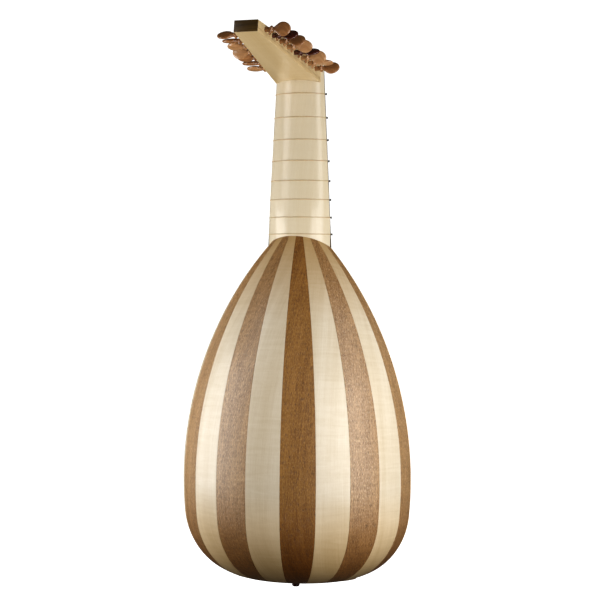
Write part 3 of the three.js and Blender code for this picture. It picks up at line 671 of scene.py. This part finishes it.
def neck_point(angle, z, heel, grow=0.0):
    """A point of the neck's rounded back; angle 0 is the treble edge and a half turn the bass edge."""
    depth = up_the_neck(NECK_DEPTH_AT_JOINT, NECK_DEPTH_AT_NUT, z)
    share = min(max((z - heel.z) / HEEL_LENGTH, 0), 1)
    share = share * share * (3 - 2 * share)
    x = mix(heel.x, neck_half(z) * math.cos(angle), share)
    y = mix(heel.y, depth * math.sin(angle), share)
    return Vector((x + grow * math.cos(angle), y + grow * math.sin(angle), z))


def pegbox_matrix():
    turn = Matrix.Rotation(math.pi / 2 - PEGBOX_BEND, 4, "X")
    return Matrix.Translation(place(0, 0, NUT_Z + PEGBOX_OFFSET)) @ turn


PEGBOX = pegbox_matrix()
PEGBOX_ALONG = (PEGBOX.to_3x3() @ Vector((0, 1, 0))).normalized()


def pegbox_depth(y):
    return mix(PEGBOX_DEPTH_AT_NUT, PEGBOX_DEPTH_AT_END, y / PEGBOX_LENGTH)


def pegbox_half(y):
    return mix(PEGBOX_HALF_AT_NUT, PEGBOX_HALF_AT_END, y / PEGBOX_LENGTH)


def make_neck():
    """The neck's shaft, which swells into the bowl's shape at the heel and is cut out for the pegbox."""
    front = FINGERBOARD_THICKNESS + GAP / 2
    columns = []
    for angle in steps(64, 0, math.pi):
        heel = heel_point(angle)
        rows = [mix(heel.z, NUT_Z + NECK_OVERRUN, share) for share in steps(72, 0, 1)]
        line = [neck_point(angle, z, heel) for z in rows]
        columns.append([Vector((p.x, max(p.y, front), p.z)) for p in line])
    neck = loft_object("neck_shaft", in_row([list(ring) for ring in zip(*columns)]), sharp_angle=40)
    cutter = housing_cutter()
    trim = neck.modifiers.new("housing", "BOOLEAN")
    trim.operation = "DIFFERENCE"
    trim.object = cutter
    trim.solver = "EXACT"
    bake(neck)
    bpy.data.objects.remove(cutter)
    neck.data.set_sharp_from_angle(angle=math.radians(40))
    finish_piece(neck, NECK_MAPLE, replaces=["neck"])


def housing_cutter():
    """The space that the pegbox takes out of the neck's end."""
    start, reach, wide = PEGBOX_START - GAP / 2, 60 * MM, 80 * MM
    side = [(start, -pegbox_depth(start) - GAP / 3), (reach, -pegbox_depth(reach) - GAP / 3),
            (reach, reach), (start, reach)]
    rings = [[PEGBOX @ Vector((x, y, z)) for y, z in side] for x in (-wide, wide)]
    return loft_object("housing_cutter", rings)


def bake(obj):
    """Applies the object's modifiers to its mesh."""
    made = bpy.data.meshes.new_from_object(obj.evaluated_get(bpy.context.evaluated_depsgraph_get()))
    obj.modifiers.clear()
    obj.data = made


# ---- frets ------------------------------------------------------------------------------------------------

KNOT_RADIUS = 1.25 * MM
KNOT_GUT_RADIUS = 0.5 * MM
KNOT_SIDES = 16
BEAD_RADIUS = 0.85 * MM


def fret_height(number):
    return NUT_Z - STRING_LENGTH * (1 - 2 ** (-number / 12))


def make_fret(number):
    """A gut loop pulled tight round the neck, knotted at the bass edge with two singed ends."""
    z = fret_height(number)
    clear = FRET_RADIUS
    back = [neck_point(angle, z, heel_point(angle), clear) for angle in steps(48, 0, math.pi)]
    half = neck_half(z)
    front = [Vector((x, -clear, z)) for x in steps(12, -half + clear, half - clear)]
    path = back + [Vector((-half - clear * math.cos(t), -clear * math.sin(t), z)) for t in (0.5, 1.0)]
    path += front + [Vector((half + clear * math.cos(t), -clear * math.sin(t), z)) for t in (1.0, 0.5)]
    rings = []
    for i, point in enumerate(path):
        along = (path[(i + 1) % len(path)] - path[i - 1]).normalized()
        out = along.cross(Vector((0, 0, 1)))
        rings.append(ring_round(point, Vector((0, 0, 1)), out, FRET_RADIUS, FRET_RADIUS, 8))
    loop = loft_object(f"fret_loop_{number}", in_row(rings), closed=True, sharp_angle=80)
    finish_piece(loop, FRET_GUT, replaces=[f"fret_{number}"])
    make_knot(number, place(-half - 1 * MM, 0.6 * MM, z))


def make_knot(number, centre):
    """Two crossed turns of gut and two melted beads."""
    bm = bmesh.new()
    for tilt, size in ((0.5, 1.0), (-0.6, 0.9)):
        turn = Quaternion((0, 1, 0), tilt)
        radius = KNOT_RADIUS * size
        ring = [centre + turn @ Vector((radius * math.cos(t), radius * math.sin(t), 0))
                for t in full_turn(KNOT_SIDES)]
        rings = []
        for i, point in enumerate(ring):
            out = (point - centre).normalized()
            along = (ring[(i + 1) % len(ring)] - ring[i - 1]).normalized()
            rings.append(ring_round(point, out, along.cross(out), KNOT_GUT_RADIUS, KNOT_GUT_RADIUS, 7))
        add_loft(bm, rings, closed=True)
    for side in (-1, 1):
        bead = bmesh.ops.create_icosphere(bm, subdivisions=2, radius=BEAD_RADIUS)["verts"]
        for vert in bead:
            swell = 1 + 0.18 * math.sin(vert.co.x * 2600 + number) * math.cos(vert.co.z * 2300 + side)
            vert.co = centre + Vector((-0.7, 0.25 * side, 0.75 * side)) * MM + vert.co * swell
    knot = mesh_object(f"fret_knot_{number}", bm, 70)
    finish_piece(knot, CHARRED)


# ---- pegbox -----------------------------------------------------------------------------------------------

def make_pegbox():
    """Cheeks, end block and facing from the CAD with rounded edges, and a new floor."""
    for node, name, bevel, material, slot, grain, shift in (
        ("pegbox_bass_cheek", "cheek_bass", 0.6, BOX_MAPLE, "neck_maple", PEGBOX_ALONG, 0.0),
        ("pegbox_treble_cheek", "cheek_treble", 0.6, BOX_MAPLE, "neck_maple", PEGBOX_ALONG, 0.9),
        ("pegbox_end_block", "end_block", 0.3, BOX_MAPLE, "neck_maple", Vector((1, 0, 0)), 2.3),
        ("pegbox_end_veneer", "end_facing", 0.3, END_VENEER, "dark_veneer", Vector((1, 0, 0)), 0.4),
    ):
        finish_piece(softened(name, node, bevel * MM, grain, shift), material, replaces=[node])
    make_pegbox_floor()


def make_pegbox_floor():
    """The plate under the pegbox, whose front end sits in the neck."""
    end = PEGBOX_LENGTH - PEGBOX_VENEER - GAP
    corners = ((-1, 0), (1, 0), (1, PEGBOX_FLOOR), (-1, PEGBOX_FLOOR))
    rings = [[PEGBOX @ Vector((side * pegbox_half(y), y, lift - pegbox_depth(y))) for side, lift in corners]
             for y in (PEGBOX_START, end)]
    bm = bmesh.new()
    add_loft(bm, rings)
    bmesh.ops.recalc_face_normals(bm, faces=bm.faces)
    bmesh.ops.bevel(bm, geom=list(bm.edges), offset=0.5 * MM, segments=3, profile=0.5, affect="EDGES")
    floor = mesh_object("pegbox_floor", bm, 40)
    grain_map(floor, PEGBOX_ALONG, 1.7)
    finish_piece(floor, BOX_MAPLE, replaces=["pegbox_back"])


# ---- pegs -------------------------------------------------------------------------------------------------

PEG_SHANK_RADIUS = 3.1 * MM
PEG_TIP_RADIUS = 2.5 * MM
PEG_TIP = 1.5 * MM
PEG_REACH = 33.4 * MM
# From the very tip: distance in millimetres and share of the tip's radius.
PEG_TIP_PROFILE = ((0, 0.6), (0.2, 0.93), (0.6, 1.0))
# Outside the cheek: distance, half width and half thickness, in millimetres.
PEG_PROFILE = [
    (0, 3.1, 3.1), (5.6, 3.2, 3.2), (6.2, 3.4, 3.4), (6.8, 4.3, 4.3), (7.8, 4.8, 4.8), (8.9, 4.7, 4.7),
    (9.6, 3.9, 3.9), (10.4, 3.0, 3.0), (11.4, 3.05, 2.8), (13, 4.1, 2.85), (15, 5.7, 2.95), (17, 7.2, 3.05),
    (19, 8.3, 3.1), (21, 8.9, 3.1), (23.2, 9.05, 3.05), (25.5, 8.8, 2.95), (27.8, 7.95, 2.7),
    (29.8, 6.75, 2.4), (31.4, 5.2, 2.0), (32.6, 3.4, 1.5), (33.3, 1.5, 0.8),
]
# Pegs given the paler plum carry painted light, and pegs given the darker plum carry painted shade.
PAINTED_LIT_PEGS = ("peg_bass_2", "peg_bass_3", "peg_bass_5", "peg_treble_1", "peg_treble_4", "peg_treble_5")
PAINTED_SHADED_PEGS = ("peg_bass_4", "peg_bass_7")


def smooth_profile(rows, refine=3):
    """Catmull-Rom through the rows of a profile."""
    points = [Vector(row) for row in rows]
    result = []
    for i in range(len(points) - 1):
        before, start, end = points[max(i - 1, 0)], points[i], points[i + 1]
        after = points[min(i + 2, len(points) - 1)]
        for t in steps(refine, 0, 1)[:-1]:
            result.append(0.5 * (2 * start + (end - before) * t
                                 + (2 * before - 5 * start + 4 * end - after) * t * t
                                 + (3 * start - before - 3 * end + after) * t ** 3))
    return result + [points[-1]]


def peg_frame(name):
    """The peg's centre, the direction of its head, and the way its flat head is turned."""
    centre = Vector(PEG_JOINTS[name]["pos_m"])
    low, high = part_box(name)
    outward = 1.0 if high.x > -low.x else -1.0
    verts = [v.co for v in frame["nodes"][name].data.vertices]
    widest = max(verts, key=lambda co: Vector((0, co.y - centre.y, co.z - centre.z)).length)
    wide = Vector((0, widest.y - centre.y, widest.z - centre.z)).normalized()
    reach = max(abs(low.x), abs(high.x))
    return centre, outward, wide, reach


def make_peg(name):
    """A tapered shank, a turned collar and a flat rounded head."""
    centre, outward, wide, reach = peg_frame(name)
    axis = Vector((outward, 0, 0))
    thick = axis.cross(wide)
    cheek = reach - PEG_REACH
    rows = [(x * MM - cheek - PEG_TIP, PEG_TIP_RADIUS * share, PEG_TIP_RADIUS * share)
            for x, share in PEG_TIP_PROFILE]
    for x in steps(10, -cheek, cheek)[:-1]:
        radius = mix(PEG_TIP_RADIUS, PEG_SHANK_RADIUS, (x + cheek) / (2 * cheek))
        rows.append((x, radius, radius))
    rows += [(cheek + out * MM, half * MM, deep * MM) for out, half, deep in smooth_profile(PEG_PROFILE)]
    rings = [ring_round(centre + axis * x, wide, thick, half, deep, 28) for x, half, deep in rows]
    peg = loft_object(f"{name}_turned", rings, sharp_angle=60, offset=centre.y * 3 + outward)
    # The paler plum paints light on lit heads, and the darker plum paints shade on shaded heads.
    material = PLUM_PAINTED_LIT if name in PAINTED_LIT_PEGS else PLUM_PAINTED_SHADE if name in PAINTED_SHADED_PEGS else PLUM
    finish_piece(peg, material, name, replaces=[name])


# ---- strings ----------------------------------------------------------------------------------------------

COURSES = 8
THINNEST = 0.22 * MM  # radius of the first course
THICKER = 0.05 * MM  # added for each course
FIRST_BASS_COURSE = 6
NUT_SPREAD = 25.2 * MM
BRIDGE_SPREAD = 54 * MM
PAIR_AT_NUT = 1.3 * MM
PAIR_AT_BRIDGE = 2.4 * MM
BRIDGE_STRING_HEIGHT = 6.6 * MM
BRIDGE_HOLE_HEIGHT = 5.2 * MM
BRIDGE_DEPTH = 13 * MM
NUT_STRING_HEIGHT = 1.35 * MM
# How a string bends over the nut: drop below its crest and distance past the nut's front, in millimetres.
NUT_BEND = ((0, -0.5), (0.1, 2), (0.5, 3.8), (1.6, 4.6))
COIL_TURNS = 5
COIL_SPACING = 1.04
SHANK_WASTE = 0.25 * MM  # how far the taper thins a peg under its winding
INNER_HALF_AT_NUT = 26.7 * MM
INNER_HALF_AT_END = 11.1 * MM
WINDING_CLEARANCE = 0.4 * MM
WINDING_SHARE = 0.9  # how far out a string is wound, as a share of its place at the nut


def string_list():
    """Every string: course, radius, places at the nut and bridge, and its peg."""
    treble = sorted((n for n in PEG_JOINTS if "treble" in n), key=lambda n: PEG_JOINTS[n]["pos_m"][1])
    bass = sorted((n for n in PEG_JOINTS if "bass" in n), key=lambda n: -PEG_JOINTS[n]["pos_m"][1])
    pegs = treble + bass
    made = []
    for i in range(COURSES):
        share = i / (COURSES - 1)
        for pair in ((0,) if i == 0 else (1, -1)):
            at_nut = mix(NUT_SPREAD, -NUT_SPREAD, share) + pair * PAIR_AT_NUT
            at_bridge = mix(BRIDGE_SPREAD, -BRIDGE_SPREAD, share) + pair * PAIR_AT_BRIDGE
            made.append((i + 1, THINNEST + i * THICKER, at_nut, at_bridge, pegs[len(made)], pair))
    return made


def winding_place(nut_x, y, half_winding):
    """Where along its peg a string is wound, clear of the cheeks that draw in towards the end."""
    inner = mix(INNER_HALF_AT_NUT, INNER_HALF_AT_END, y / PEGBOX_LENGTH)
    room = inner - half_winding - WINDING_CLEARANCE
    return min(max(nut_x * WINDING_SHARE * inner / INNER_HALF_AT_NUT, -room), room)


def make_string(course, radius, nut_x, bridge_x, peg, pair, first):
    """A string from the bridge over the nut to its peg, its winding there and its tie on the bridge."""
    centre = Vector(PEG_JOINTS[peg]["pos_m"])
    local = PEGBOX.inverted() @ centre
    half_winding = radius * (COIL_TURNS * COIL_SPACING + 1)
    peg_x = winding_place(nut_x, local.y, half_winding)
    shank = PEG_SHANK_RADIUS - SHANK_WASTE
    over = PEGBOX @ Vector((peg_x, local.y, local.z + shank + radius))
    crest = NUT_STRING_HEIGHT + radius
    path = [place(bridge_x, -BRIDGE_STRING_HEIGHT, BRIDGE_Z - 0.4 * MM)]
    path += [place(nut_x, drop * MM - crest, NUT_Z + beyond * MM) for drop, beyond in NUT_BEND]
    corner = path[-1]
    path += [corner.lerp(over, share) for share in (0.3, 0.6, 0.9, 1.0)]
    material = BASS_GUT if course >= FIRST_BASS_COURSE and pair <= 0 else STRING_GUT
    label = f"{course}" if pair == 0 else f"{course}{'a' if pair > 0 else 'b'}"
    cord = loft_object(f"string_{label}", cord_rings(path, radius), sharp_angle=80)
    finish_piece(cord, material, replaces=[f"course_{course}"] if first else ())
    coil = []
    for turns in steps(COIL_TURNS * 20, 0, COIL_TURNS):
        angle = 2 * math.pi * turns
        out = PEGBOX.to_3x3() @ Vector((0, -math.sin(angle), math.cos(angle)))
        x = peg_x + (turns / COIL_TURNS - 0.5) * 2 * radius * COIL_TURNS * COIL_SPACING
        coil.append(Vector((x, centre.y, centre.z)) + out * (shank + radius))
    winding = loft_object(f"winding_{label}", cord_rings(coil, radius, 8), sharp_angle=80)
    finish_piece(winding, material, peg)
    make_tie(label, radius, bridge_x, material)


def make_tie(label, radius, x, material):
    """The loop that ties a string round itself on the bridge."""
    top = BRIDGE_LOW.y - FRONT_Y
    low = -BRIDGE_HOLE_HEIGHT
    middle = (low + top) / 2
    crest = top - radius
    front, back = BRIDGE_Z + radius, BRIDGE_Z - BRIDGE_DEPTH - radius
    path = [place(x, low, front), place(x, middle, front + 0.3 * MM), place(x, crest, front - 1 * MM),
            place(x + 0.8 * MM, crest, BRIDGE_Z - 5 * MM), place(x + 0.9 * MM, crest, back + 2 * MM),
            place(x + 0.6 * MM, middle, back), place(x, low, back)]
    tie = loft_object(f"tie_{label}", cord_rings(smooth_profile(path, 4), radius, 8), sharp_angle=80)
    finish_piece(tie, material)


# ---- soundboard -------------------------------------------------------------------------------------------

ROSE_Z = 277 * MM
# Each ring of openings: its radius, how many, and the radius of each opening, in millimetres.
ROSE_RINGS = ((0, 1, 4.6), (11.6, 6, 4.2), (21.8, 12, 4.1), (32.4, 18, 4.2))
ROSE_BORDER = 38.8 * MM
ROSE_PEARLS = 54
HOLE_SIDES = 24
BORDER_SIDES = 96


def rose_holes():
    """Centre and radius of every opening, as x and z from the tail."""
    holes = []
    for radius, count, hole in ROSE_RINGS:
        for k in range(count):
            around = 2 * math.pi * k / count
            holes.append((radius * MM * math.sin(around), ROSE_Z + radius * MM * math.cos(around), hole * MM))
    return holes


def board_edge():
    """The soundboard's edge from the bass neck corner round the tail to the treble one."""
    end = math.acos((SIDE[1] - JOINT_Z + GAP / 2) / SIDE[2])
    treble = [outline(heading) for heading in headings(0, end, tail=10)]
    return [place(-x, 0, z) for x, z in reversed(treble)] + [place(x, 0, z) for x, z in treble[1:]]


def circle(x, z, radius, count):
    return [place(x + radius * math.cos(t), 0, z + radius * math.sin(t)) for t in full_turn(count)]


def make_soundboard():
    """The plate with its pierced rose, every edge slightly eased."""
    bm = bmesh.new()
    loops = [board_edge()] + [circle(x, z, radius, HOLE_SIDES) for x, z, radius in rose_holes()]
    for loop in loops:
        verts = [bm.verts.new(point) for point in loop]
        for i, vert in enumerate(verts):
            bm.edges.new((vert, verts[(i + 1) % len(verts)]))
    bmesh.ops.triangle_fill(bm, use_beauty=True, edges=bm.edges)
    grown = bmesh.ops.extrude_face_region(bm, geom=list(bm.faces))["geom"]
    back = [item for item in grown if isinstance(item, bmesh.types.BMVert)]
    bmesh.ops.translate(bm, verts=back, vec=Vector((0, BOARD_THICKNESS, 0)))
    bmesh.ops.recalc_face_normals(bm, faces=bm.faces)
    rims = [edge for edge in bm.edges if edge.calc_face_angle(0) > math.radians(60)]
    bmesh.ops.bevel(bm, geom=rims, offset=0.25 * MM, segments=2, profile=0.5, affect="EDGES",
                    clamp_overlap=True)
    finish_piece(mesh_object("board", bm, 40), SPRUCE, replaces=["soundboard"])


def make_rose_carving():
    """Raised beads round the openings, and a border of two cords with pearls between them."""
    bm = bmesh.new()
    beads = [(x, z, radius + 0.45 * MM, 0.4 * MM, HOLE_SIDES) for x, z, radius in rose_holes()]
    beads += [(0, ROSE_Z, ROSE_BORDER + side * 1.1 * MM, 0.45 * MM, BORDER_SIDES) for side in (-1, 1)]
    for x, z, radius, thick, count in beads:
        centre = place(x, 0, z)
        rings = []
        for t in full_turn(count):
            out = Vector((math.cos(t), 0, math.sin(t)))
            rings.append(ring_round(centre + out * radius, out, Vector((0, -1, 0)), thick, thick, 8))
        add_loft(bm, rings, closed=True)
    for t in full_turn(ROSE_PEARLS):
        spot = place(ROSE_BORDER * math.cos(t), 0, ROSE_Z + ROSE_BORDER * math.sin(t))
        bmesh.ops.create_icosphere(bm, subdivisions=2, radius=0.6 * MM, matrix=Matrix.Translation(spot))
    bmesh.ops.recalc_face_normals(bm, faces=bm.faces)
    finish_piece(mesh_object("rose_carving", bm, 60), SPRUCE)


# ---- kept CAD nodes ---------------------------------------------------------------------------------------

def paint(node, material):
    """Gives a node that stays as its CAD mesh a procedural material."""
    slots = frame["nodes"][node].data.materials
    slots.clear()
    slots.append(material)


def make_plain_pieces():
    for node in ("bar_1", "bar_2", "bar_3", "bar_4", "neck_block", "tail_liner"):
        paint(node, INNER_SPRUCE)
    up = Vector((0, 0, 1))
    side = Vector((1, 0, 0))
    finish_piece(softened("fingerboard_plate", "fingerboard", 0.25 * MM, up), DARK_BOARD,
                 replaces=["fingerboard"])
    finish_piece(softened("nut_bone", "nut", 0.4 * MM, side), BONE, replaces=["nut"])
    finish_piece(softened("bridge_body", "bridge", 0.3 * MM, side), PLUM, replaces=["bridge"])
    finish_piece(softened("clasp_strip", "end_clasp", 0.25 * MM, side), RIB_WALNUT,
                 replaces=["end_clasp"])


# From the tail along the neck, and radius, in millimetres.
BUTTON_PROFILE = (
    (-11.3, 0.6), (-11.25, 2.4), (-11, 3.9), (-10.4, 4.7), (-9.5, 5.15), (-8.3, 5.2), (-7.2, 4.9),
    (-6.2, 4.2), (-5.3, 3.75), (-4.3, 3.7), (-3.3, 4.0), (-2.5, 4.4), (-1.9, 4.5), (-1.8, 2.5), (11.2, 2.5),
)


def make_button():
    """The turned button at the tail, with its peg in the wood."""
    low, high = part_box("end_button")
    centre = (low + high) / 2
    rings = [ring_round(Vector((centre.x, centre.y, TAIL_Z + z * MM)), Vector((1, 0, 0)), Vector((0, 1, 0)),
                        radius * MM, radius * MM, 40) for z, radius in BUTTON_PROFILE]
    button = loft_object("button_turned", rings, sharp_angle=50)
    finish_piece(button, PLUM_DEEP, replaces=["end_button"])


def make_floor():
    bm = bmesh.new()
    bmesh.ops.create_circle(bm, cap_ends=True, segments=96, radius=FLOOR_RADIUS)
    floor = mesh_object("floor", bm)
    floor.location = (0, 0, CAD_BOX[0].z - FLOOR_DROP)
    floor.data.materials.append(floor_paper())
    floor.visible_diffuse = False
    floor.visible_glossy = False


# ---- build ------------------------------------------------------------------------------------------------

make_camera()
make_world()
make_lights()
make_floor()
for rib_index in range(RIB_COUNT):
    make_rib(rib_index)
make_neck()
for fret_number in range(1, FRET_COUNT + 1):
    make_fret(fret_number)
make_pegbox()
for peg_name in PEG_JOINTS:
    make_peg(peg_name)
seen_courses = set()
for string in string_list():
    make_string(*string, first=string[0] not in seen_courses)
    seen_courses.add(string[0])
make_soundboard()
make_rose_carving()
make_plain_pieces()
make_button()
